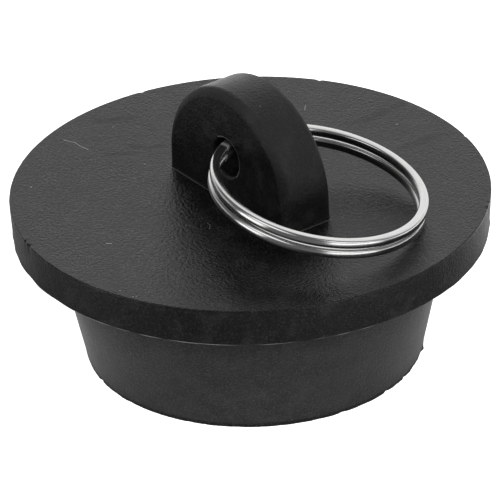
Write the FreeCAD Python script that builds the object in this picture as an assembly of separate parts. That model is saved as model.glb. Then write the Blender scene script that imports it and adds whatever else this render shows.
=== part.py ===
"""Drain stopper: a tapered rubber plug with a flange and a holed lug, and a split ring through the lug.

Sizes are in millimetres. The plug stands on Z = 0 with its axis on +Z, and the lug's hole runs along Y.
"""
import FreeCAD
import Part
import math
import os

Vector = FreeCAD.Vector

# Flange: the disc that covers the drain
flange_d = 63.5
flange_t = 5.2
rim_draft = 0.38          # the rim's lower edge lies this far inside its upper edge
rim_edge_r = 0.15

# Plug: tapered, to wedge in drains of about 45 to 52 mm
plug_top_d = 52.3
plug_bottom_d = 44.6
plug_h = 17.7
plug_edge_r = 0.2

# Recess: the core under the plug, which lets its wall give
plug_wall = 5.0           # rubber round the recess at its mouth
crown_t = 7.5             # rubber between the recess and the flange's top
recess_draft = 1.2        # the recess's roof is this much smaller in radius than its mouth
recess_corner_r = 2.5

# Lug: a D-shaped tab across the middle of the flange, with broad faces to -Y and +Y
lug_w = 25.5
lug_h = 15.6
lug_t = 7.8
lug_draft = 0.17          # each broad face leans in this far by the crown
lug_edge_r = 1.25
lug_root = 2.0            # the lug's blank reaches this far into the flange

# Hole through the lug
hole_d = 5.4
hole_h = 6.3              # axis above the flange's top
hole_edge_r = 0.4

# Split ring: two turns of flattened wire, one above the other, with one step between them
ring_d = 29.0
wire_w = 1.3              # across the ring
wire_h = 1.15             # along the ring's axis
wire_edge_r = 0.15
coil_gap = 0.32
step_deg = 40.0           # arc in which the wire passes from the upper turn to the lower
step_at_deg = 168.0       # middle of that arc, counted round the ring from its far side
end_gap = 0.5             # each wire end stops this far short of the step

# How the ring lies: its wire against the side of the hole, its loop leaning on the flange
seat_deg = 141.5          # side of the hole that the wire lies against, from +X towards +Z
turn_deg = 8.1            # plan direction from the hole to the ring's middle, from +X towards +Y
fall_deg = 43.1           # plan direction in which the ring slopes down
wire_clearance = 0.1      # between the wire and the hole
rest_gap = 0.45           # between the ring and the flange

# Counts
settle_rounds = 8
path_steps = 12
gap_samples = 720

cut_overrun = 1.0

flange_top = plug_h + flange_t
hole_z = flange_top + hole_h
turn_r = (ring_d - wire_w) / 2
pitch = wire_h + coil_gap
corner_w = wire_w / 2 - wire_edge_r    # from the wire's middle to the centres of its rounded corners
corner_h = wire_h / 2 - wire_edge_r


def rounded_wire(corners):
    """A closed wire in the XZ plane through (x, z, corner radius) corners, with tangent arcs."""
    points = [Vector(x, 0, z) for x, z, _ in corners]
    edges = []
    first_start = None
    last_end = None
    for i, (_, _, radius) in enumerate(corners):
        here = points[i]
        back = (points[i - 1] - here).normalize()
        ahead = (points[(i + 1) % len(points)] - here).normalize()
        start = here
        end = here
        arc = None
        if radius > 0:
            half = back.getAngle(ahead) / 2
            start = here + back * (radius / math.tan(half))
            end = here + ahead * (radius / math.tan(half))
            inward = (back + ahead).normalize()
            middle = here + inward * (radius / math.sin(half) - radius)
            arc = Part.Arc(start, middle, end).toShape()
        if last_end is not None:
            edges.append(Part.makeLine(last_end, start))
        if arc is not None:
            edges.append(arc)
        if first_start is None:
            first_start = start
        last_end = end
    edges.append(Part.makeLine(last_end, first_start))
    return Part.Wire(edges)


def make_plug_and_flange():
    """The turned body: plug, flange and the recess under them."""
    flange_r = flange_d / 2
    plug_bottom_r = plug_bottom_d / 2
    mouth_r = plug_bottom_r - plug_wall
    roof_z = flange_top - crown_t
    outline = rounded_wire([
        (mouth_r, 0, 0),
        (plug_bottom_r, 0, plug_edge_r),
        (plug_top_d / 2, plug_h, 0),
        (flange_r - rim_draft, plug_h, 0),
        (flange_r, flange_top, rim_edge_r),
        (0, flange_top, 0),
        (0, roof_z, 0),
        (mouth_r - recess_draft, roof_z, recess_corner_r),
    ])
    return Part.Face(outline).revolve(Vector(0, 0, 0), Vector(0, 0, 1), 360)


def make_lug():
    """The holed tab, with drafted faces and rounded edges, standing a little inside the flange."""
    half_w = lug_w / 2
    half_t = lug_t / 2
    root_z = flange_top - lug_root
    spring_z = flange_top + lug_h - half_w
    crown_z = flange_top + lug_h
    front = Part.Wire([
        Part.makeLine(Vector(-half_w, -half_t, root_z), Vector(half_w, -half_t, root_z)),
        Part.makeLine(Vector(half_w, -half_t, root_z), Vector(half_w, -half_t, spring_z)),
        Part.Arc(Vector(half_w, -half_t, spring_z), Vector(0, -half_t, crown_z),
                 Vector(-half_w, -half_t, spring_z)).toShape(),
        Part.makeLine(Vector(-half_w, -half_t, spring_z), Vector(-half_w, -half_t, root_z)),
    ])
    tab = Part.Face(front).extrude(Vector(0, lug_t, 0))

    lean = lug_draft / lug_h
    low = half_t + lean * lug_root
    high = half_t - lug_draft
    end = Part.makePolygon([
        Vector(-half_w - cut_overrun, -low, root_z),
        Vector(-half_w - cut_overrun, low, root_z),
        Vector(-half_w - cut_overrun, high, crown_z),
        Vector(-half_w - cut_overrun, -high, crown_z),
        Vector(-half_w - cut_overrun, -low, root_z),
    ])
    wedge = Part.Face(end).extrude(Vector(lug_w + 2 * cut_overrun, 0, 0))
    lug = tab.common(wedge)

    face_edges = []
    for edge in lug.Edges:
        middle = edge.CenterOfMass
        runs_along_face = edge.BoundBox.YLength < lug_edge_r
        if runs_along_face and middle.z > root_z and abs(middle.y) > high / 2:
            face_edges.append(edge)
    lug = lug.makeFillet(lug_edge_r, face_edges)

    hole = Part.makeCylinder(
        hole_d / 2, lug_t + 2 * cut_overrun, Vector(0, -half_t - cut_overrun, hole_z), Vector(0, 1, 0))
    lug = lug.cut(hole)
    rims = [edge for edge in lug.Edges
            if edge.BoundBox.XLength < hole_d + hole_edge_r
            and edge.BoundBox.YLength < hole_edge_r
            and abs(edge.BoundBox.Center.z - hole_z) < hole_edge_r]
    return lug.makeFillet(hole_edge_r, rims)


def make_stopper():
    """The whole moulding."""
    body = make_plug_and_flange().fuse(make_lug()).removeSplitter()
    return body.Solids[0]


def ring_axes(tilt):
    """The way from the hole to the ring's middle, the way round the ring there, and the ring's axis."""
    fall = math.radians(fall_deg)
    swing = math.radians(turn_deg) - fall
    down = Vector(math.cos(tilt) * math.cos(fall), math.cos(tilt) * math.sin(fall), -math.sin(tilt))
    level = Vector(-math.sin(fall), math.cos(fall), 0)
    outward = down * math.cos(swing) + level * math.sin(swing)
    axis = down.cross(level)
    return outward, axis.cross(outward), axis


def hole_path(tilt):
    """Offsets (x, z) of the wire pair's rounded corners inside the lug, from the middle of the pair."""
    outward, around, axis = ring_axes(tilt)
    reach = math.asin(lug_t / 2 / turn_r / abs(around.y))
    path = []
    for i in range(-path_steps, path_steps + 1):
        angle = reach * i / path_steps
        for rise in (-pitch / 2 - corner_h, pitch / 2 + corner_h):
            for corner_r in (turn_r - corner_w, turn_r + corner_w):
                offset = (outward * (turn_r - corner_r * math.cos(angle))
                          + around * (corner_r * math.sin(angle)) + axis * rise)
                path.append((offset.x, offset.z))
    return path


def seat_shift(path):
    """How far the wire pair can move towards its side of the hole before it is a clearance away."""
    room = hole_d / 2 - wire_edge_r - wire_clearance
    side_x = math.cos(math.radians(seat_deg))
    side_z = math.sin(math.radians(seat_deg))
    shifts = []
    for x, z in path:
        along = x * side_x + z * side_z
        shifts.append(math.sqrt(room ** 2 - x ** 2 - z ** 2 + along ** 2) - along)
    return min(shifts)


def settle_ring():
    """Placement of the ring: its own X axis points from the hole to its far side, Z is its axis."""
    side = Vector(math.cos(math.radians(seat_deg)), 0, math.sin(math.radians(seat_deg)))
    swing = math.radians(turn_deg - fall_deg)
    across = turn_r * (1 + math.cos(swing)) + corner_w
    deep = pitch / 2 + corner_h
    tilt = 0.0
    for _ in range(settle_rounds):
        seat = Vector(0, 0, hole_z) + side * seat_shift(hole_path(tilt))
        drop = seat.z - flange_top - wire_edge_r - rest_gap
        tilt = math.asin(drop / math.hypot(across, deep)) - math.atan2(deep, across)
    outward, around, axis = ring_axes(tilt)
    turn = FreeCAD.Rotation(outward, around, axis, "ZXY")
    return FreeCAD.Placement(seat + outward * turn_r, turn)


def on_turn(angle, rise):
    """A point on a turn's centre line, in the ring's own frame."""
    return Vector(turn_r * math.cos(angle), turn_r * math.sin(angle), rise)


def turn_arcs(start, end, rise):
    """A flat turn from one angle to another, as arcs of about a quarter turn."""
    count = math.ceil((end - start) / (math.pi / 2))
    part = (end - start) / count
    arcs = []
    for i in range(count):
        a = start + part * i
        arc = Part.Arc(on_turn(a, rise), on_turn(a + part / 2, rise), on_turn(a + part, rise))
        arcs.append(arc.toShape())
    return arcs


def arc_between(start, start_way, end, end_way):
    """The circular arc between two points whose tangents already suit one arc."""
    chord = end - start
    turned = start_way.getAngle(end_way)
    bulge = (start_way - end_way).normalize() * (chord.Length / 2 * math.tan(turned / 4))
    return Part.Arc(start, (start + end) / 2 + bulge, end).toShape()


def step_arcs(middle_angle):
    """The step from the upper turn down to the lower one: two equal arcs that meet at half height."""
    half = math.radians(step_deg) / 2
    run = 2 * turn_r * math.sin(half) / pitch
    slope = math.atan(1 / run) + math.asin(math.cos(half) / math.hypot(run, 1))
    reach = pitch / (2 * math.sin(slope))
    radial = Vector(math.cos(middle_angle), math.sin(middle_angle), 0)
    forward = Vector(-math.sin(middle_angle), math.cos(middle_angle), 0)
    middle = radial * (turn_r * math.cos(half) + reach * math.sin(half))
    middle_way = forward * math.cos(slope) - Vector(0, 0, math.sin(slope))
    upper = on_turn(middle_angle - half, pitch / 2)
    upper_way = radial * math.sin(half) + forward * math.cos(half)
    lower = on_turn(middle_angle + half, -pitch / 2)
    lower_way = forward * math.cos(half) - radial * math.sin(half)
    return [arc_between(upper, upper_way, middle, middle_way), arc_between(middle, middle_way, lower, lower_way)]


def least_gap(path):
    """The smallest clear distance between one turn of the wire and the next."""
    points = path.discretize(gap_samples)
    spacing = path.Length / (gap_samples - 1)
    apart = math.ceil(math.pi * turn_r / spacing)
    nearest = min((points[i] - points[j]).Length
                  for i in range(gap_samples) for j in range(i + apart, gap_samples))
    return nearest - wire_h


def make_ring():
    """The split ring: one unbroken wire, wound upper turn, step, lower turn."""
    half = math.radians(step_deg) / 2
    ends = half + end_gap / turn_r
    step_at = math.radians(step_at_deg)
    full = 2 * math.pi
    upper = turn_arcs(step_at - full + ends, step_at - half, pitch / 2)
    lower = turn_arcs(step_at + half, step_at + full - ends, -pitch / 2)
    path = Part.Wire(upper + step_arcs(step_at) + lower)
    print("split ring: least gap between turns %.3f mm" % least_gap(path))

    inside = turn_r - wire_w / 2
    outside = turn_r + wire_w / 2
    low = pitch / 2 - wire_h / 2
    high = pitch / 2 + wire_h / 2
    section = rounded_wire([(inside, low, wire_edge_r), (outside, low, wire_edge_r),
                            (outside, high, wire_edge_r), (inside, high, wire_edge_r)])
    section.rotate(Vector(0, 0, 0), Vector(0, 0, 1), math.degrees(step_at - full + ends))
    shell = Part.BRepOffsetAPI.MakePipeShell(path)
    shell.setBiNormalMode(Vector(0, 0, 1))
    shell.add(section)
    shell.build()
    shell.makeSolid()
    ring = shell.shape()
    print("split ring: volume %.3f, section times length %.3f mm3"
          % (ring.Volume, Part.Face(section).Area * path.Length))
    return ring.transformed(settle_ring().toMatrix(), True)


pieces = {
    "rubber_stopper": make_stopper(),
    "split_ring": make_ring(),
}

os.makedirs("parts", exist_ok=True)
for name, shape in pieces.items():
    print(name, "valid" if shape.isValid() else "not valid", len(shape.Solids), "solid, volume %.1f" % shape.Volume)
    shape.exportStep("parts/" + name + ".step")
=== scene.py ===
import bmesh
import bpy
import math
from mathutils import Matrix, Vector, noise


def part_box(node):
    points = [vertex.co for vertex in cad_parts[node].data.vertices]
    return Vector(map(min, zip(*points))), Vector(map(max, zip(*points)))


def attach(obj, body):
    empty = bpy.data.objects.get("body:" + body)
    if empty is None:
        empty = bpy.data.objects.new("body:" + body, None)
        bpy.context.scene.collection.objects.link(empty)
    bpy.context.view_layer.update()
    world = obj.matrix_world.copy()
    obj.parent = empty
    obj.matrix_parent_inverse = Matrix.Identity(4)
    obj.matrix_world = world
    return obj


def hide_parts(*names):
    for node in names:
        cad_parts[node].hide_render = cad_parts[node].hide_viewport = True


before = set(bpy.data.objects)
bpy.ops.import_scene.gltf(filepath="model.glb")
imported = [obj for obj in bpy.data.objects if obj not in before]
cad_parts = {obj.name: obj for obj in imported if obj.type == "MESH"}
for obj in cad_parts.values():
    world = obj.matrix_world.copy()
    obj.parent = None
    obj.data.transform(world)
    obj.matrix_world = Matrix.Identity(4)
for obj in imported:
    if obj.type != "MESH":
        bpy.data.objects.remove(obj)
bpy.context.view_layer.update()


# Rubber stopper: plug, flange and lug are one moulding of black rubber, pressed in a mould and cored
# out from below. The flash is trimmed by hand, which leaves a cut lip round the plug's foot, a thin
# feather of rubber under the rim and small nicks in the edges.
stopper_low, stopper_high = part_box("rubber_stopper")
flange_radius = (stopper_high.x - stopper_low.x) / 2
plug_height = 0.0177
flange_top = 0.0229
rim_draft = 0.00036
rim_round = 0.00012
feather_reach = 0.00013
feather_rise = 0.00010
plug_top_radius = 0.02615
plug_foot_radius = 0.0223
lip_height = 0.00068
lip_ridge = 0.00005
foot_round = 0.00008
mouth_radius = 0.0173
mouth_round = 0.0004
roof_radius = 0.0161
roof_height = 0.0154
roof_round = 0.0025
pole_radius = 0.0006
moulding_sides = 900

plug_lean = (plug_top_radius - plug_foot_radius) / plug_height
rim_foot_radius = flange_radius - rim_draft


def even_steps(start, end, count):
    """The (radius, height) points that part a straight run into equal lengths, without its start."""
    points = []
    for step in range(1, count + 1):
        share = step / count
        points.append((start[0] + (end[0] - start[0]) * share, start[1] + (end[1] - start[1]) * share))
    return points


def draw_loop_along(points):
    """Extrudes the selected loop of edges through (radius, height) points round the stopper's axis."""
    for before, after in zip(points, points[1:]):
        growth = after[0] / before[0]
        rise = (0, 0, after[1] - before[1])
        bpy.ops.mesh.extrude_region_move(TRANSFORM_OT_translate={"value": rise})
        bpy.ops.transform.resize(value=(growth, growth, 1), center_override=(0, 0, after[1]))


def select_edges(piece, wanted):
    """Selects the edges whose two ends both suit the given test of place, and no others."""
    bpy.ops.mesh.select_mode(type="EDGE")
    bpy.ops.mesh.select_all(action="DESELECT")
    work = bmesh.from_edit_mesh(piece.data)
    for edge in work.edges:
        edge.select_set(all(wanted(corner.co) for corner in edge.verts))
    bmesh.update_edit_mesh(piece.data)


def select_ring(piece, radius, height, slack=0.00002):
    """Selects the loop of edges that lies at one radius and height round the stopper's axis."""
    select_edges(piece, lambda place: abs(math.hypot(place.x, place.y) - radius) < slack
                 and abs(place.z - height) < slack)


roof_rim = (roof_radius, roof_height)
mouth_rim = (mouth_radius, 0)
foot_rim = (plug_foot_radius, 0)
lip_top = (plug_foot_radius + plug_lean * lip_height + lip_ridge, lip_height)
lip_back = (plug_foot_radius + plug_lean * lip_height * 1.25, lip_height * 1.25)
plug_top = (plug_top_radius, plug_height)
feather_root = (rim_foot_radius - feather_reach / 2, plug_height)
feather_tip = (rim_foot_radius + feather_reach, plug_height + feather_rise * 0.3)
feather_top = (rim_foot_radius + feather_reach * 0.1, plug_height + feather_rise)
feather_back = (rim_foot_radius + feather_reach * 0.12, plug_height + feather_rise * 2)
rim_shoulder = (flange_radius - rim_draft * 0.06, flange_top - 0.0003)
rim_top = (flange_radius, flange_top)
moulding_outline = [(pole_radius, roof_height)]
moulding_outline += even_steps(moulding_outline[-1], roof_rim, 4)
moulding_outline += even_steps(roof_rim, mouth_rim, 5)
moulding_outline += even_steps(mouth_rim, foot_rim, 3)
moulding_outline += even_steps(foot_rim, lip_top, 3)
moulding_outline += [lip_back]
moulding_outline += even_steps(lip_back, plug_top, 8)
moulding_outline += even_steps(plug_top, feather_root, 3)
moulding_outline += [feather_tip, feather_top, feather_back]
moulding_outline += even_steps(feather_back, rim_shoulder, 4)
moulding_outline += [rim_top]
moulding_outline += [(flange_radius - inset, flange_top) for inset in (0.0003, 0.0006, 0.0012)]
moulding_outline += even_steps(moulding_outline[-1], (pole_radius, flange_top), 9)

bpy.ops.object.select_all(action="DESELECT")
bpy.ops.mesh.primitive_circle_add(vertices=moulding_sides, radius=pole_radius, location=(0, 0, roof_height))
moulding = bpy.context.object
moulding.name = "rubber_moulding"
bpy.ops.object.transform_apply(location=True, rotation=True, scale=True)
bpy.ops.object.mode_set(mode="EDIT")
bpy.ops.mesh.select_all(action="SELECT")
draw_loop_along(moulding_outline)
bpy.ops.mesh.edge_face_add()
select_ring(moulding, pole_radius, roof_height)
bpy.ops.mesh.edge_face_add()
bpy.ops.mesh.select_all(action="SELECT")
bpy.ops.mesh.normals_make_consistent(inside=False)
rounded_rims = [(roof_rim, roof_round, 6), (mouth_rim, mouth_round, 3), (foot_rim, foot_round, 2)]
rounded_rims += [(rim_top, rim_round, 3)]
for rim_place, round_over, round_steps in rounded_rims:
    select_ring(moulding, *rim_place)
    bpy.ops.mesh.bevel(offset=round_over, segments=round_steps, profile=0.5, affect="EDGES")
bpy.ops.object.mode_set(mode="OBJECT")

# Trimming marks: the lip is cut a little unevenly, the feather comes and goes, and the edges are nicked.
lip_ripple = 0.00007
lip_ripple_pitch = 0.0016
edge_ripple = 0.00002
edge_ripple_pitch = 0.0008
feather_pitch = 0.0030
nick_reach = 0.00032
# plan angle in degrees, width along the edge, depth
rim_nicks = [(-102.8, 0.00035, 0.00016), (-105.0, 0.00025, 0.00012), (41.3, 0.00030, 0.00014)]
rim_nicks += [(43.9, 0.00025, 0.00010), (125.5, 0.00030, 0.00012), (-71.0, 0.00025, 0.00006)]
rim_nicks += [(-12.0, 0.00030, 0.00007), (170.0, 0.00030, 0.00009), (78.0, 0.00025, 0.00008)]
lip_nicks = [(-102.3, 0.00040, 0.00020), (-6.4, 0.00050, 0.00018), (13.5, 0.00040, 0.00022)]
lip_nicks += [(24.4, 0.00035, 0.00018), (-60.0, 0.00035, 0.00008), (100.0, 0.00050, 0.00016)]
lip_nicks += [(160.0, 0.00040, 0.00015), (215.0, 0.00040, 0.00014), (44.4, 0.00045, -0.00028)]


def nick_depth(place, nicks):
    """How deep the nicks in an edge go at a place round it."""
    radius = math.hypot(place.x, place.y)
    turn = math.atan2(place.y, place.x)
    depth = 0
    for angle, width, full_depth in nicks:
        apart = math.remainder(turn - math.radians(angle), 2 * math.pi) * radius
        depth += full_depth * math.exp(-(apart / width) ** 2)
    return depth


for corner in moulding.data.vertices:
    place = corner.co
    radius = math.hypot(place.x, place.y)
    inward = 0
    drop = 0
    if place.z < 1.2 * lip_height and radius > plug_foot_radius - 0.0012:
        near = max(0, 1 - place.z / (1.2 * lip_height))
        ripple = noise.noise(place / lip_ripple_pitch) + 0.5 * noise.noise(place / (lip_ripple_pitch / 4))
        inward = near * (lip_ripple * ripple + nick_depth(place, lip_nicks))
    elif radius > plug_top_radius + 0.002:
        from_top = math.hypot(radius - flange_radius, place.z - flange_top)
        near = math.exp(-(from_top / nick_reach) ** 2)
        ripple = noise.noise(place / edge_ripple_pitch)
        nick = nick_depth(place, rim_nicks)
        inward = near * (edge_ripple * (1 + ripple) + nick)
        drop = near * nick * 0.7
        if abs(place.z - feather_tip[1]) < feather_rise / 3 and radius > rim_foot_radius + feather_reach / 2:
            inward += feather_reach * (0.5 + 1.1 * noise.noise(place / feather_pitch))
    place.x -= place.x / radius * inward
    place.y -= place.y / radius * inward
    place.z = max(0, place.z - drop)

# Lug: a D-shaped tab across the flange with a rounded edge and a round hole, moulded in one with it.
lug_width = 0.0255
lug_crown = stopper_high.z
lug_thickness = 0.0078
lug_lean = 0.00017 / 0.0156
lug_edge = 0.00125
lug_root = 0.0021
hole_radius = 0.00264
hole_height = 0.0292
hole_edge = 0.0005
root_fillet = 0.00022
# heights above the flange and outsets that draw the fillet, as shares of its size
fillet_steps = [(1.0, 0.0), (0.62, 0.075), (0.3, 0.286), (0.08, 0.61), (-0.15, 0.8)]
lug_sides = 160
close_by = 0.00001

lug_spring = lug_crown - lug_width / 2

bpy.ops.object.select_all(action="DESELECT")
bpy.ops.mesh.primitive_cylinder_add(vertices=lug_sides, radius=lug_width / 2, depth=lug_thickness,
                                    end_fill_type="NGON", location=(0, 0, lug_spring),
                                    rotation=(math.pi / 2, 0, 0))
lug = bpy.context.object
lug.name = "lug_blank"
bpy.ops.object.transform_apply(location=True, rotation=True, scale=True)
bpy.ops.object.mode_set(mode="EDIT")
work = bmesh.from_edit_mesh(lug.data)
for corner in work.verts:
    if corner.co.z < lug_spring - close_by:
        below = math.atan2(lug_spring - corner.co.z, corner.co.x) / (2 * math.pi / lug_sides)
        corner.co.x = lug_width / 2 * (1 - 2 * (below - 1) / (lug_sides / 2 - 2))
        corner.co.z = flange_top - lug_root
bmesh.update_edit_mesh(lug.data)
bpy.ops.mesh.select_mode(type="FACE")
bpy.ops.mesh.select_all(action="DESELECT")
work = bmesh.from_edit_mesh(lug.data)
for face in work.faces:
    face.select_set(abs(face.normal.y) > 0.9)
bmesh.update_edit_mesh(lug.data)
bpy.ops.mesh.inset(thickness=close_by)
work = bmesh.from_edit_mesh(lug.data)
for corner in work.verts:
    if corner.select:
        across = corner.co.x
        rise = corner.co.z - hole_height
        corner.co.x = across * hole_radius / math.hypot(across, rise)
        corner.co.z = rise * hole_radius / math.hypot(across, rise) + hole_height
bmesh.update_edit_mesh(lug.data)
bpy.ops.mesh.delete(type="ONLY_FACE")


def on_hole_rim(place):
    """Whether a place lies on either rim of the hole."""
    return abs(math.hypot(place.x, place.z - hole_height) - hole_radius) < close_by


select_edges(lug, on_hole_rim)
bpy.ops.mesh.bridge_edge_loops()
bpy.ops.mesh.select_all(action="SELECT")
bpy.ops.mesh.normals_make_consistent(inside=False)


def select_face_edges(wanted):
    """Selects edges that lie in the lug's broad faces and whose ends both suit the test of place."""
    select_edges(lug, wanted)
    work = bmesh.from_edit_mesh(lug.data)
    for edge in work.edges:
        if abs(edge.verts[0].co.y - edge.verts[1].co.y) > close_by:
            edge.select_set(False)
    bmesh.update_edit_mesh(lug.data)


def on_outline(place):
    """Whether a place lies on the lug's arched outline, above its hidden foot."""
    on_arch = abs(math.hypot(place.x, place.z - lug_spring) - lug_width / 2) < close_by
    on_side = abs(place.x) > lug_width / 2 - 0.00003 and place.z < lug_spring
    return on_arch or on_side


select_face_edges(on_hole_rim)
bpy.ops.mesh.bevel(offset=hole_edge, segments=5, profile=0.5, affect="EDGES", loop_slide=False)
select_face_edges(on_outline)
bpy.ops.mesh.bevel(offset=lug_edge, segments=10, profile=0.5, affect="EDGES", loop_slide=False)
for height_share, _ in fillet_steps:
    bpy.ops.mesh.select_all(action="SELECT")
    bpy.ops.mesh.bisect(plane_co=(0, 0, flange_top + root_fillet * height_share), plane_no=(0, 0, 1))
bpy.ops.object.mode_set(mode="OBJECT")
outward_ways = [corner.normal.copy() for corner in lug.data.vertices]
for corner, way in zip(lug.data.vertices, outward_ways):
    height = corner.co.z - flange_top
    corner.co.y *= 1 - lug_lean * height / (lug_thickness / 2)
    outset = 0
    for height_share, outset_share in fillet_steps:
        if height < root_fillet * height_share + close_by / 2:
            outset = root_fillet * outset_share
    flat_way = Vector((way.x, way.y, 0)).normalized()
    corner.co += flat_way * outset

bpy.ops.object.select_all(action="DESELECT")
moulding.select_set(True)
bpy.context.view_layer.objects.active = moulding
joined = moulding.modifiers.new("moulded in one", "BOOLEAN")
joined.operation = "UNION"
joined.solver = "EXACT"
joined.object = lug
bpy.ops.object.modifier_apply(modifier=joined.name)
bpy.data.objects.remove(lug)
bpy.ops.object.shade_smooth_by_angle(angle=math.radians(32))
evened = moulding.modifiers.new("even shading", "WEIGHTED_NORMAL")
evened.keep_sharp = True
bpy.ops.object.modifier_apply(modifier=evened.name)

# Black rubber: a dull sheen over fine grain, paler bloom on the plug's side with a band of painted shade
# just under the flange, dust on the lug's crown, a dark cut lip, a pale feather line that is painted
# highlight, faint flow marks in the flange, a few scratches and specks of dust, and painted highlights
# round the hole's rim and along the lug's root.
rubber = bpy.data.materials.new("black_rubber")
rubber.use_nodes = True
nodes = rubber.node_tree.nodes
links = rubber.node_tree.links
rubber_shader = nodes["Principled BSDF"]
rubber_shader.inputs["IOR"].default_value = 1.38
rubber_place = nodes.new("ShaderNodeTexCoord").outputs["Object"]


def rubber_noise(scale, detail, roughness=0.5):
    """A noise over the rubber, with so many lumps to the metre."""
    lumps = nodes.new("ShaderNodeTexNoise")
    lumps.inputs["Scale"].default_value = scale
    lumps.inputs["Detail"].default_value = detail
    lumps.inputs["Roughness"].default_value = roughness
    links.new(rubber_place, lumps.inputs["Vector"])
    return lumps.outputs["Fac"]


def between(value, low, high, low_result, high_result):
    """A value carried smoothly from one range to another."""
    spread = nodes.new("ShaderNodeMapRange")
    spread.interpolation_type = "SMOOTHSTEP"
    spread.inputs["From Min"].default_value = low
    spread.inputs["From Max"].default_value = high
    spread.inputs["To Min"].default_value = low_result
    spread.inputs["To Max"].default_value = high_result
    links.new(value, spread.inputs["Value"])
    return spread.outputs["Result"]


def combine(operation, first, second):
    """Two values, or a value and a number, put together by one operation."""
    worked = nodes.new("ShaderNodeMath")
    worked.operation = operation
    for socket, term in zip(worked.inputs, (first, second)):
        if isinstance(term, (int, float)):
            socket.default_value = term
        else:
            links.new(term, socket)
    return worked.outputs["Value"]


def tinted(share, under, over):
    """A colour that goes from one to another; either may be a plain colour."""
    mixed = nodes.new("ShaderNodeMix")
    mixed.data_type = "RGBA"
    links.new(share, mixed.inputs["Factor"])
    for name, colour in (("A", under), ("B", over)):
        socket = [entry for entry in mixed.inputs if entry.name == name and entry.type == "RGBA"][0]
        if isinstance(colour, tuple):
            socket.default_value = (*colour, 1)
        else:
            links.new(colour, socket)
    return [entry for entry in mixed.outputs if entry.type == "RGBA"][0]


hairline = bpy.data.node_groups.new("hairline_mark", "ShaderNodeTree")
for socket_name, socket_kind in (("Place", "NodeSocketVector"), ("Start", "NodeSocketVector"),
                                 ("Way", "NodeSocketVector"), ("Length", "NodeSocketFloat"),
                                 ("Width", "NodeSocketFloat")):
    hairline.interface.new_socket(socket_name, in_out="INPUT", socket_type=socket_kind)
hairline.interface.new_socket("Mask", in_out="OUTPUT", socket_type="NodeSocketFloat")
mark_in = hairline.nodes.new("NodeGroupInput")
mark_out = hairline.nodes.new("NodeGroupOutput")
from_start = hairline.nodes.new("ShaderNodeVectorMath")
from_start.operation = "SUBTRACT"
along = hairline.nodes.new("ShaderNodeVectorMath")
along.operation = "DOT_PRODUCT"
held = hairline.nodes.new("ShaderNodeClamp")
nearest = hairline.nodes.new("ShaderNodeVectorMath")
nearest.operation = "SCALE"
off_line = hairline.nodes.new("ShaderNodeVectorMath")
off_line.operation = "DISTANCE"
faded = hairline.nodes.new("ShaderNodeMapRange")
faded.interpolation_type = "SMOOTHSTEP"
faded.inputs["From Min"].default_value = 0
faded.inputs["To Min"].default_value = 1
faded.inputs["To Max"].default_value = 0
hairline.links.new(mark_in.outputs["Place"], from_start.inputs[0])
hairline.links.new(mark_in.outputs["Start"], from_start.inputs[1])
hairline.links.new(from_start.outputs["Vector"], along.inputs[0])
hairline.links.new(mark_in.outputs["Way"], along.inputs[1])
hairline.links.new(along.outputs["Value"], held.inputs["Value"])
hairline.links.new(mark_in.outputs["Length"], held.inputs["Max"])
hairline.links.new(mark_in.outputs["Way"], nearest.inputs[0])
hairline.links.new(held.outputs["Result"], nearest.inputs["Scale"])
hairline.links.new(from_start.outputs["Vector"], off_line.inputs[0])
hairline.links.new(nearest.outputs["Vector"], off_line.inputs[1])
hairline.links.new(off_line.outputs["Value"], faded.inputs["Value"])
hairline.links.new(mark_in.outputs["Width"], faded.inputs["From Max"])
hairline.links.new(faded.outputs["Result"], mark_out.inputs["Mask"])


def marked(lines):
    """The mask of several fine marks on the rubber, each a width and a run of points in millimetres."""
    total = None
    for width, points in lines:
        spots = [Vector(point) / 1000 for point in points]
        if len(spots) == 1:
            spots = spots * 2
        for start, end in zip(spots, spots[1:]):
            mark = nodes.new("ShaderNodeGroup")
            mark.node_tree = hairline
            links.new(rubber_place, mark.inputs["Place"])
            mark.inputs["Start"].default_value = start
            mark.inputs["Way"].default_value = (end - start).normalized()
            mark.inputs["Length"].default_value = (end - start).length
            mark.inputs["Width"].default_value = width / 1000
            if total is None:
                total = mark.outputs["Mask"]
            else:
                total = combine("MAXIMUM", total, mark.outputs["Mask"])
    return total


top = flange_top * 1000
# each mark is a width and a run of points, all in millimetres
pale_marks = [(0.11, [(-27.05, -10.53, top), (-25.52, -9.83, top), (-24.33, -9.88, top),
                      (-22.87, -9.64, top)])]
pale_marks += [(0.09, [(-13.81, 19.88, top), (-12.88, 19.03, top)])]
pale_marks += [(0.08, [(-0.99, -22.85, top), (-0.46, -22.35, top)])]
pale_marks += [(0.26, [(-1.78, 25.99, top)]), (0.20, [(-19.49, -21.46, top)])]
pale_marks += [(0.16, [(-14.77, -6.23, top)]), (0.15, [(-25.71, -3.39, top)])]
pale_marks += [(0.15, [(10.12, -28.85, top)]), (0.17, [(12.47, -28.50, top)])]
pale_marks += [(0.14, [(12.64, -28.10, top)])]
pale_marks += [(0.11, [(1.24, -2.9, 38.44)]), (0.12, [(4.28, -1.1, 37.76)])]
# the first is a faint mark on the flange; the other two are painted highlights along the crease at the lug's
# root, under its front face and round its end
faint_marks_and_root_highlights = [(0.09, [(3.23, -9.56, top), (3.90, -9.58, top), (4.71, -10.28, top)])]
faint_marks_and_root_highlights += [(0.15, [(-12.7, -4.06, top), (-2.0, -4.06, top)])]
faint_marks_and_root_highlights += [(0.15, [(12.92, -3.4, top), (12.92, 3.3, top)])]
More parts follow.
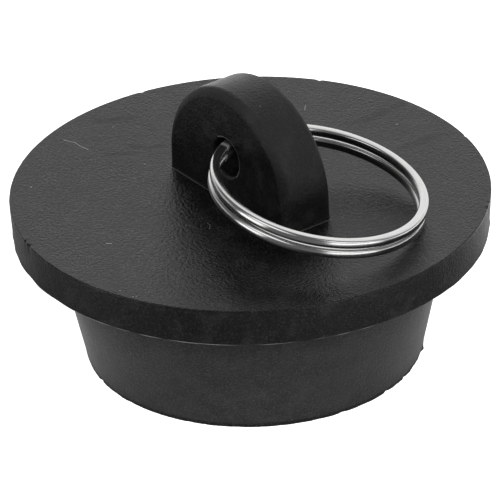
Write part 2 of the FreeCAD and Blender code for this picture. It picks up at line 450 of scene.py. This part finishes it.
# painted highlight: a pale crescent on the lug's front face round the hole's rim, from its top over to the
# right, where the rim's bevel catches the light
hole_glint_radius = 2.95
hole_glint_face = -3.79
hole_glint_middle = hole_height * 1000
hole_glint_turns = [math.radians(angle) for angle in range(120, -50, -20)]
hole_glint_line = [(hole_glint_radius * math.cos(turn), hole_glint_face, hole_glint_middle + hole_glint_radius * math.sin(turn))
             for turn in hole_glint_turns]
hole_rim_highlights = [(0.20, hole_glint_line)]
dark_marks = [(0.18, [(-16.34, -20.66, top)]), (0.18, [(-7.12, -15.38, top)])]
dark_marks += [(0.13, [(-0.58, -3.3, 38.49), (0.73, -1.7, 38.48), (1.93, 0.0, 38.35)])]
flow_marks = [(1.3, [(-28.60, -4.22, top), (-27.49, -2.78, top), (-26.11, 0.17, top)])]
flow_marks += [(1.2, [(-19.93, -8.51, top), (-19.45, -7.61, top), (-18.03, -5.55, top)])]
flow_marks += [(1.0, [(-19.69, -4.62, top), (-17.89, -3.40, top), (-17.36, -1.54, top)])]
flow_marks += [(1.3, [(-6.12, 21.10, top), (-5.32, 24.39, top), (-5.67, 26.61, top), (-5.64, 29.97, top)])]
flow_marks += [(1.3, [(3.75, 22.54, top), (4.17, 24.43, top), (4.00, 27.37, top), (4.46, 28.98, top)])]

rubber_axes = nodes.new("ShaderNodeSeparateXYZ")
links.new(rubber_place, rubber_axes.inputs["Vector"])
rubber_across = rubber_axes.outputs["X"]
rubber_along = rubber_axes.outputs["Y"]
rubber_height = rubber_axes.outputs["Z"]
plan_squares = combine("ADD", combine("POWER", rubber_across, 2), combine("POWER", rubber_along, 2))
rubber_radius = combine("SQRT", plan_squares, 0)

blotches = rubber_noise(420, 7, 0.66)
clouds = rubber_noise(90, 3)
grain = rubber_noise(2500, 3, 0.6)
fine_grain = rubber_noise(4600, 2)
mottles = rubber_noise(300, 5, 0.62)
outside = between(rubber_radius, 0.0215, 0.0220, 0, 1)
below_flange = between(rubber_height, plug_height - 0.0002, plug_height + 0.0001, 1, 0)
on_side = combine("MULTIPLY", outside, below_flange)
ragged_height = combine("ADD", rubber_height, combine("MULTIPLY", rubber_noise(900, 2), 0.0003))
on_lip = combine("MULTIPLY", outside, between(ragged_height, lip_height, lip_height + 0.0003, 1, 0))
past_rim_foot = between(rubber_radius, rim_foot_radius + 0.00002, rim_foot_radius + 0.00008, 0, 1)
by_feather_height = between(rubber_height, plug_height + 0.00008, plug_height + 0.00016, 1, 0)
on_feather = combine("MULTIPLY", past_rim_foot, by_feather_height)
below_rim_top = between(rubber_height, flange_top - 0.0004, flange_top - 0.0001, 1, 0)
on_rim = combine("MULTIPLY", between(rubber_radius, 0.0308, 0.0312, 0, 1), below_rim_top)
on_lug = between(rubber_height, flange_top + 0.0001, flange_top + 0.0005, 0, 1)
from_lug = combine("SUBTRACT", rubber_height, lug_spring)
lug_squares = combine("ADD", combine("POWER", rubber_across, 2), combine("POWER", from_lug, 2))
lug_reach = combine("SQRT", lug_squares, 0)
by_outline = between(lug_reach, lug_width / 2 - 0.0012, lug_width / 2 - 0.0003, 0, 1)
by_outline = combine("MULTIPLY", by_outline, on_lug)
dust_share = between(rubber_height, flange_top + 0.006, lug_crown, 0.01, 0.34)
on_arch = combine("MULTIPLY", by_outline, dust_share)
off_middle = combine("ABSOLUTE", rubber_along, 0)
on_bevel = combine("MULTIPLY", by_outline, between(off_middle, 0.0024, 0.0032, 0, 1))
# painted shade: the plug's side just under the flange is darkened, its bloom, mottles and grain mostly taken
# out there
under_flange = between(rubber_height, plug_height - 0.0030, plug_height - 0.0012, 0, 1)
flange_shade_band = combine("MULTIPLY", under_flange, on_side)
flange_shade_dimming = between(flange_shade_band, 0, 1, 1, 0.1)
pale = marked(pale_marks)
flow = marked(flow_marks)
dark = marked(dark_marks)

bare_black = (0.0025, 0.0025, 0.0026)
bloom_grey = (0.050, 0.050, 0.0495)
mottle_grey = (0.060, 0.060, 0.0595)
lip_black = (0.006, 0.006, 0.006)
feather_highlight_grey = (0.18, 0.18, 0.176)
dust_grey = (0.040, 0.040, 0.0395)
grain_grey = (0.065, 0.065, 0.0645)
faint_and_highlight_grey = (0.070, 0.070, 0.068)
hole_highlight_grey = (0.15, 0.15, 0.147)
scratch_grey = (0.30, 0.30, 0.29)
speck_black = (0.002, 0.002, 0.002)
bloom_place = combine("ADD", between(on_side, 0, 1, 0.04, 0.55), combine("MULTIPLY", on_rim, 0.05))
bloom = combine("MULTIPLY", between(blotches, 0.30, 0.70, 0.60, 1), bloom_place)
bloom = combine("MULTIPLY", bloom, flange_shade_dimming)
colour = tinted(bloom, bare_black, bloom_grey)
mottle_share = combine("MULTIPLY", between(mottles, 0.48, 0.70, 0, 0.16), flange_shade_dimming)
colour = tinted(mottle_share, colour, mottle_grey)
colour = tinted(on_lip, colour, lip_black)
# painted highlight: the feather under the rim is painted pale, a light line along the rim's lower edge
colour = tinted(on_feather, colour, feather_highlight_grey)
colour = tinted(on_arch, colour, dust_grey)
grain_share = between(fine_grain, 0.50, 0.72, 0, 1)
grain_share = combine("MULTIPLY", grain_share, between(on_side, 0, 1, 0.30, 0.75))
grain_share = combine("MULTIPLY", grain_share, flange_shade_dimming)
grain_share = combine("MULTIPLY", grain_share, between(on_lug, 0, 1, 1, 0.5))
colour = tinted(grain_share, colour, grain_grey)
colour = tinted(marked(faint_marks_and_root_highlights), colour, faint_and_highlight_grey)
colour = tinted(marked(hole_rim_highlights), colour, hole_highlight_grey)
colour = tinted(pale, colour, scratch_grey)
colour = tinted(dark, colour, speck_black)
links.new(colour, rubber_shader.inputs["Base Color"])

# places on the rubber and how much duller than the flange's top they are
dull_places = [(between(blotches, 0.35, 0.65, 0, 1), 0.05), (flow, 0.14), (on_side, 0.16), (on_rim, 0.20)]
dull_places += [(on_lug, 0.16), (on_bevel, 0.30), (on_lip, 0.25), (flange_shade_band, -0.14), (pale, 0.3)]
dullness = between(clouds, 0.3, 0.7, 0.15, 0.20)
for dull_place, duller_by in dull_places:
    dullness = combine("ADD", dullness, combine("MULTIPLY", dull_place, duller_by))
links.new(dullness, rubber_shader.inputs["Roughness"])

grain_depth = 0.00009
relief = combine("ADD", grain, combine("MULTIPLY", fine_grain, 0.5))
relief = combine("SUBTRACT", relief, combine("MULTIPLY", dark, 0.6))
rubber_bump = nodes.new("ShaderNodeBump")
rubber_bump.inputs["Strength"].default_value = 1.0
rubber_bump.inputs["Distance"].default_value = grain_depth
links.new(relief, rubber_bump.inputs["Height"])
links.new(rubber_bump.outputs["Normal"], rubber_shader.inputs["Normal"])
moulding.data.materials.clear()
moulding.data.materials.append(rubber)
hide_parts("rubber_stopper")
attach(moulding, "stopper")


# Split ring: two turns of flattened spring wire, nickel plated and polished, wound as one length with
# a step from the upper turn to the lower. It is threaded through the lug's hole and lies on the flange.
ring_middle_radius = 0.01385
wire_across = 0.00130
wire_deep = 0.00115
top_flatness = 6.0
side_flatness = 2.4
wire_roll = 2.0
turn_pitch = 0.00147
step_arc = 40.0
step_middle = 168.0
end_gap = 2.0
wire_sides = 40
turn_steps = 160
step_parts = 20
ring_centre = Vector((0.0124943, 0.0017792, 0.0276431))
ring_turn = 8.1
ring_fall = 43.1
ring_tilt = 12.104

upper_start = step_middle - 360 + step_arc / 2 + end_gap
upper_end = step_middle - step_arc / 2
lower_end = step_middle + 360 - step_arc / 2 - end_gap


def wire_drop(part):
    """How far the wire has come down from the upper turn, after so many parts of the step."""
    return turn_pitch * (1 - math.cos(math.pi * part / step_parts)) / 2


bpy.ops.object.select_all(action="DESELECT")
start_turn = math.radians(upper_start)
wire_start = (ring_middle_radius * math.cos(start_turn), ring_middle_radius * math.sin(start_turn),
              turn_pitch / 2)
bpy.ops.mesh.primitive_circle_add(vertices=wire_sides, radius=wire_across / 2, location=wire_start,
                                  rotation=(math.pi / 2, 0, start_turn))
ring = bpy.context.object
ring.name = "split_ring_wire"
roll = math.radians(wire_roll)
for corner in ring.data.vertices:
    turn = math.atan2(corner.co.y, corner.co.x)
    across = abs(math.cos(turn)) ** (2 / top_flatness)
    deep = abs(math.sin(turn)) ** (2 / side_flatness)
    across = math.copysign(wire_across / 2 * across, math.cos(turn))
    deep = math.copysign(wire_deep / 2 * deep, math.sin(turn))
    corner.co.x = across * math.cos(roll) - deep * math.sin(roll)
    corner.co.y = across * math.sin(roll) + deep * math.cos(roll)
bpy.ops.object.transform_apply(location=True, rotation=True, scale=True)
bpy.ops.object.mode_set(mode="EDIT")
bpy.ops.mesh.select_all(action="SELECT")
upper_arc = upper_end - upper_start
bpy.ops.mesh.spin(steps=turn_steps, angle=-math.radians(upper_arc), center=(0, 0, 0), axis=(0, 0, 1))
for part in range(step_parts):
    bpy.ops.mesh.spin(steps=1, angle=-math.radians(step_arc / step_parts), center=(0, 0, 0), axis=(0, 0, 1))
    bpy.ops.transform.translate(value=(0, 0, wire_drop(part) - wire_drop(part + 1)))
lower_arc = lower_end - upper_end - step_arc
bpy.ops.mesh.spin(steps=turn_steps, angle=-math.radians(lower_arc), center=(0, 0, 0), axis=(0, 0, 1))
bpy.ops.mesh.select_mode(type="EDGE")
bpy.ops.mesh.select_all(action="DESELECT")
bpy.ops.mesh.select_non_manifold()
bpy.ops.mesh.edge_face_add()
bpy.ops.mesh.select_all(action="SELECT")
bpy.ops.mesh.normals_make_consistent(inside=False)
bpy.ops.object.mode_set(mode="OBJECT")
fall = math.radians(ring_fall)
level_way = Vector((-math.sin(fall), math.cos(fall), 0))
ring_place = (Matrix.Translation(ring_centre) @ Matrix.Rotation(math.radians(ring_tilt), 4, level_way)
              @ Matrix.Rotation(math.radians(ring_turn), 4, "Z"))
ring.matrix_world = ring_place
bpy.ops.object.transform_apply(location=True, rotation=True, scale=True)
bpy.ops.object.shade_smooth_by_angle(angle=math.radians(40))

# Bright nickel plate: fine drawing lines run along the wire, and the shine is uneven along them. Inside
# the lug's hole the wire is painted near black and dull, as painted shade for the hole's shadow.
plating = bpy.data.materials.new("plated_wire")
plating.use_nodes = True
plate_nodes = plating.node_tree.nodes
plate_links = plating.node_tree.links
plate_shader = plate_nodes["Principled BSDF"]
plate_object = plate_nodes.new("ShaderNodeTexCoord")
into_ring = plate_nodes.new("ShaderNodeMapping")
into_ring.inputs["Location"].default_value = ring_place.inverted().to_translation()
into_ring.inputs["Rotation"].default_value = ring_place.inverted().to_euler()
plate_links.new(plate_object.outputs["Object"], into_ring.inputs["Vector"])
ring_axes = plate_nodes.new("ShaderNodeSeparateXYZ")
plate_links.new(into_ring.outputs["Vector"], ring_axes.inputs["Vector"])
flat_place = plate_nodes.new("ShaderNodeCombineXYZ")
plate_links.new(ring_axes.outputs["X"], flat_place.inputs["X"])
plate_links.new(ring_axes.outputs["Y"], flat_place.inputs["Y"])
wire_radius = plate_nodes.new("ShaderNodeVectorMath")
wire_radius.operation = "LENGTH"
plate_links.new(flat_place.outputs["Vector"], wire_radius.inputs[0])
round_wire = plate_nodes.new("ShaderNodeMath")
round_wire.operation = "ARCTAN2"
plate_links.new(ring_axes.outputs["Y"], round_wire.inputs[0])
plate_links.new(ring_axes.outputs["X"], round_wire.inputs[1])
line_squeeze = 0.0006
long_way = plate_nodes.new("ShaderNodeMath")
long_way.operation = "MULTIPLY"
long_way.inputs[1].default_value = line_squeeze
plate_links.new(round_wire.outputs["Value"], long_way.inputs[0])
drawn_place = plate_nodes.new("ShaderNodeCombineXYZ")
plate_links.new(wire_radius.outputs["Value"], drawn_place.inputs["X"])
plate_links.new(long_way.outputs["Value"], drawn_place.inputs["Y"])
plate_links.new(ring_axes.outputs["Z"], drawn_place.inputs["Z"])
drawing_lines = plate_nodes.new("ShaderNodeTexNoise")
drawing_lines.inputs["Scale"].default_value = 9000
drawing_lines.inputs["Detail"].default_value = 3
plate_links.new(drawn_place.outputs["Vector"], drawing_lines.inputs["Vector"])
line_bump = plate_nodes.new("ShaderNodeBump")
line_bump.inputs["Strength"].default_value = 0.08
line_bump.inputs["Distance"].default_value = 0.00001
plate_links.new(drawing_lines.outputs["Fac"], line_bump.inputs["Height"])
plate_links.new(line_bump.outputs["Normal"], plate_shader.inputs["Normal"])
handling = plate_nodes.new("ShaderNodeTexNoise")
handling.inputs["Scale"].default_value = 420
handling.inputs["Detail"].default_value = 4
plate_links.new(plate_object.outputs["Object"], handling.inputs["Vector"])
plate_gloss = plate_nodes.new("ShaderNodeMapRange")
plate_gloss.inputs["From Min"].default_value = 0.3
plate_gloss.inputs["From Max"].default_value = 0.7
plate_gloss.inputs["To Min"].default_value = 0.13
plate_gloss.inputs["To Max"].default_value = 0.20
plate_links.new(handling.outputs["Fac"], plate_gloss.inputs["Value"])
plate_tone = plate_nodes.new("ShaderNodeValToRGB")
plate_tone.color_ramp.elements[0].position = 0.3
plate_tone.color_ramp.elements[0].color = (0.70, 0.70, 0.69, 1)
plate_tone.color_ramp.elements[1].position = 0.65
plate_tone.color_ramp.elements[1].color = (0.80, 0.80, 0.79, 1)
plate_links.new(drawing_lines.outputs["Fac"], plate_tone.inputs["Fac"])
# painted shade: inside the hole the wire is painted near black, made not metallic and rougher
hole_reach = 0.40
hole_full = 0.31
hole_dullness = 0.45
hole_shade_black = (0.02, 0.02, 0.02, 1)
in_hole = plate_nodes.new("ShaderNodeMapRange")
in_hole.interpolation_type = "SMOOTHSTEP"
in_hole.inputs["From Min"].default_value = math.pi - hole_reach
in_hole.inputs["From Max"].default_value = math.pi - hole_full
turn_size = plate_nodes.new("ShaderNodeMath")
turn_size.operation = "ABSOLUTE"
plate_links.new(round_wire.outputs["Value"], turn_size.inputs[0])
plate_links.new(turn_size.outputs["Value"], in_hole.inputs["Value"])
dulled = plate_nodes.new("ShaderNodeMath")
dulled.operation = "MULTIPLY_ADD"
dulled.inputs[1].default_value = hole_dullness
plate_links.new(in_hole.outputs["Result"], dulled.inputs[0])
plate_links.new(plate_gloss.outputs["Result"], dulled.inputs[2])
plate_links.new(dulled.outputs["Value"], plate_shader.inputs["Roughness"])
bare = plate_nodes.new("ShaderNodeMath")
bare.operation = "SUBTRACT"
bare.inputs[0].default_value = 1
plate_links.new(in_hole.outputs["Result"], bare.inputs[1])
plate_links.new(bare.outputs["Value"], plate_shader.inputs["Metallic"])
hole_shaded_tone = plate_nodes.new("ShaderNodeMix")
hole_shaded_tone.data_type = "RGBA"
hole_shaded_tone.inputs["B"].default_value = hole_shade_black
plate_links.new(in_hole.outputs["Result"], hole_shaded_tone.inputs["Factor"])
plate_links.new(plate_tone.outputs["Color"], hole_shaded_tone.inputs["A"])
plate_links.new(hole_shaded_tone.outputs["Result"], plate_shader.inputs["Base Color"])
ring.data.materials.clear()
ring.data.materials.append(plating)
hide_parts("split_ring")
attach(ring, "ring")


# Floor: a plain white sheet, wide enough to fill every view. Seen in reflections it glows with painted
# light instead: its mirror image in the rubber and the ring fades towards the viewer, has a painted
# contact shade close round the plug, and two lit sectors in front of the soft boxes.
floor_size = 12.0
view_turn = math.radians(53.5)
# bearings of each lit sector's ends, in degrees to the right of the viewer, and its brightness
lit_sectors = [(-84, -44, 1.35), (9, 64, 1.25)]
sector_fade = 9
bpy.ops.object.select_all(action="DESELECT")
bpy.ops.mesh.primitive_plane_add(size=floor_size, location=(0, 0, 0))
floor = bpy.context.object
floor.name = "floor"
paper = bpy.data.materials.new("white_paper")
paper.use_nodes = True
nodes = paper.node_tree.nodes
links = paper.node_tree.links
paper_shader = nodes["Principled BSDF"]
paper_shader.inputs["Base Color"].default_value = (0.9, 0.9, 0.9, 1)
paper_shader.inputs["Roughness"].default_value = 0.9
paper_shader.inputs["Specular IOR Level"].default_value = 0.0
seen_by = nodes.new("ShaderNodeLightPath")
paper_place = nodes.new("ShaderNodeTexCoord")
paper_turn = nodes.new("ShaderNodeMapping")
paper_turn.vector_type = "POINT"
paper_turn.inputs["Rotation"].default_value = (0, 0, -view_turn)
links.new(paper_place.outputs["Object"], paper_turn.inputs["Vector"])
paper_axes = nodes.new("ShaderNodeSeparateXYZ")
links.new(paper_turn.outputs["Vector"], paper_axes.inputs["Vector"])
paper_reach = nodes.new("ShaderNodeVectorMath")
paper_reach.operation = "LENGTH"
links.new(paper_place.outputs["Object"], paper_reach.inputs[0])
paper_right = paper_axes.outputs["X"]
paper_back = paper_axes.outputs["Y"]
from_axis = paper_reach.outputs["Value"]
behind = between(paper_back, -0.020, 0.040, 0, 0.38)
to_right = between(paper_right, -0.05, 0.04, 0.12, 0.16)
right_back = between(combine("ADD", paper_right, paper_back), 0.050, 0.092, 0, 0.80)
aside = between(combine("ABSOLUTE", paper_right, 0), 0.012, 0.026, 0.25, 0.44)
near_plug = combine("MULTIPLY", aside, between(from_axis, 0.029, 0.038, 1, 0))
# painted contact shade in the floor's mirror image, darker close round the plug's foot
by_plug = between(from_axis, 0.0225, 0.0275, 0.8, 1)
mirror_light = combine("ADD", combine("ADD", behind, to_right), combine("ADD", right_back, near_plug))
mirror_light = combine("MULTIPLY", mirror_light, by_plug)
far_off = between(from_axis, 0.070, 0.085, 0, 1)
bearing = combine("ARCTAN2", paper_right, combine("MULTIPLY", paper_back, -1))
for left_end, right_end, sector_light in lit_sectors:
    left_lit = math.radians(left_end + sector_fade)
    right_lit = math.radians(right_end - sector_fade)
    past_left = between(bearing, math.radians(left_end), left_lit, 0, sector_light)
    before_right = between(bearing, right_lit, math.radians(right_end), 1, 0)
    sector = combine("MULTIPLY", past_left, before_right)
    mirror_light = combine("ADD", mirror_light, combine("MULTIPLY", sector, far_off))
mirrored = nodes.new("ShaderNodeEmission")
mirrored.inputs["Color"].default_value = (1, 1, 1, 1)
links.new(mirror_light, mirrored.inputs["Strength"])
lifted = nodes.new("ShaderNodeEmission")
lifted.inputs["Color"].default_value = (1, 1, 1, 1)
links.new(seen_by.outputs["Is Camera Ray"], lifted.inputs["Strength"])
lit_paper = nodes.new("ShaderNodeAddShader")
links.new(paper_shader.outputs["BSDF"], lit_paper.inputs[0])
links.new(lifted.outputs["Emission"], lit_paper.inputs[1])
paper_mix = nodes.new("ShaderNodeMixShader")
links.new(seen_by.outputs["Is Glossy Ray"], paper_mix.inputs["Fac"])
links.new(lit_paper.outputs["Shader"], paper_mix.inputs[1])
links.new(mirrored.outputs["Emission"], paper_mix.inputs[2])
links.new(paper_mix.outputs["Shader"], nodes["Material Output"].inputs["Surface"])
floor.data.materials.append(paper)


# Light: a white wall behind and to the right, two pale cards in a darker room on the viewer's side, and
# two soft boxes and a small lamp there, which don't show in reflections themselves.
surround = bpy.data.worlds.new("studio_surround")
bpy.context.scene.world = surround
surround.use_nodes = True
nodes = surround.node_tree.nodes
links = surround.node_tree.links
wall_way = nodes.new("ShaderNodeTexCoord")
wall_turn = nodes.new("ShaderNodeMapping")
wall_turn.vector_type = "POINT"
wall_turn.inputs["Rotation"].default_value = (0, 0, -view_turn)
links.new(wall_way.outputs["Generated"], wall_turn.inputs["Vector"])
wall_axes = nodes.new("ShaderNodeSeparateXYZ")
links.new(wall_turn.outputs["Vector"], wall_axes.inputs["Vector"])
way_right = wall_axes.outputs["X"]
way_back = wall_axes.outputs["Y"]
way_up = wall_axes.outputs["Z"]
wall_light = between(way_back, 0.42, 0.86, 0.12, 0.97)
side_light = between(way_right, 0.35, 0.75, 0, 0.55)
side_light = combine("MULTIPLY", side_light, between(way_up, 0.25, 0.60, 0, 1))
side_light = combine("MULTIPLY", side_light, between(way_back, -0.1, 0.4, 0.15, 1))
front_light = between(combine("ABSOLUTE", way_right, 0), 0.22, 0.42, 0, 1.1)
front_light = combine("MULTIPLY", front_light, between(way_back, -0.45, -0.15, 1, 0))
front_light = combine("MULTIPLY", front_light, between(way_up, 0.10, 0.30, 0, 1))
wall_light = combine("ADD", combine("ADD", wall_light, side_light), front_light)
links.new(wall_light, nodes["Background"].inputs["Strength"])
nodes["Background"].inputs["Color"].default_value = (1, 1, 1, 1)
plain_back = nodes.new("ShaderNodeBackground")
plain_back.inputs["Color"].default_value = (1, 1, 1, 1)
wall_seen = nodes.new("ShaderNodeLightPath")
wall_mix = nodes.new("ShaderNodeMixShader")
links.new(wall_seen.outputs["Is Camera Ray"], wall_mix.inputs["Fac"])
links.new(nodes["Background"].outputs["Background"], wall_mix.inputs[1])
links.new(plain_back.outputs["Background"], wall_mix.inputs[2])
links.new(wall_mix.outputs["Shader"], nodes["World Output"].inputs["Surface"])


def add_soft_box(name, turn, rise, away, width, height, brightness):
    """A soft box at a turn to the right of the viewer and a rise in degrees, facing the stopper."""
    box_turn = view_turn + math.radians(turn)
    level = away * math.cos(math.radians(rise))
    lift = away * math.sin(math.radians(rise))
    place = Vector((level * math.sin(box_turn), -level * math.cos(box_turn), lift))
    bpy.ops.object.light_add(type="AREA", location=place)
    box = bpy.context.object
    box.name = name
    box.rotation_euler = place.to_track_quat("Z", "Y").to_euler()
    box.data.shape = "RECTANGLE"
    box.data.size = width
    box.data.size_y = height
    box.data.energy = brightness * math.pi * width * height
    box.visible_glossy = False


add_soft_box("left_soft_box", turn=-65, rise=33, away=1.6, width=0.95, height=2.1, brightness=1.1)
add_soft_box("right_soft_box", turn=43, rise=33, away=1.6, width=1.1, height=2.1, brightness=0.9)
add_soft_box("front_lamp", turn=8, rise=38, away=1.6, width=0.25, height=0.25, brightness=40)
bpy.context.scene.view_settings.view_transform = "Standard"


# Camera: a long lens, looking down over the lug's corner. It is aimed at the flange's top in front of
# the lug and rolled slightly.
camera_rise = math.radians(29.58)
camera_roll = math.radians(-1.843)
camera_distance = 1.0322
camera_lens = 572.9
camera_sensor = 36.0
looked_at = Vector((0.012525, -0.009608, 0.0229))
right = Vector((math.cos(view_turn), math.sin(view_turn), 0))
ahead = Vector((-math.sin(view_turn) * math.cos(camera_rise), math.cos(view_turn) * math.cos(camera_rise),
                -math.sin(camera_rise)))
above = right.cross(ahead)
rolled_right = right * math.cos(camera_roll) + above * math.sin(camera_roll)
rolled_above = above * math.cos(camera_roll) - right * math.sin(camera_roll)
bpy.ops.object.camera_add()
camera = bpy.context.object
camera.name = "camera"
camera.matrix_world = (Matrix.Translation(looked_at - ahead * camera_distance)
                       @ Matrix((rolled_right, rolled_above, -ahead)).transposed().to_4x4())
camera.data.sensor_width = camera_sensor
camera.data.lens = camera_lens
camera.data.clip_start = 0.05
camera.data.clip_end = 50.0
bpy.context.scene.camera = camera
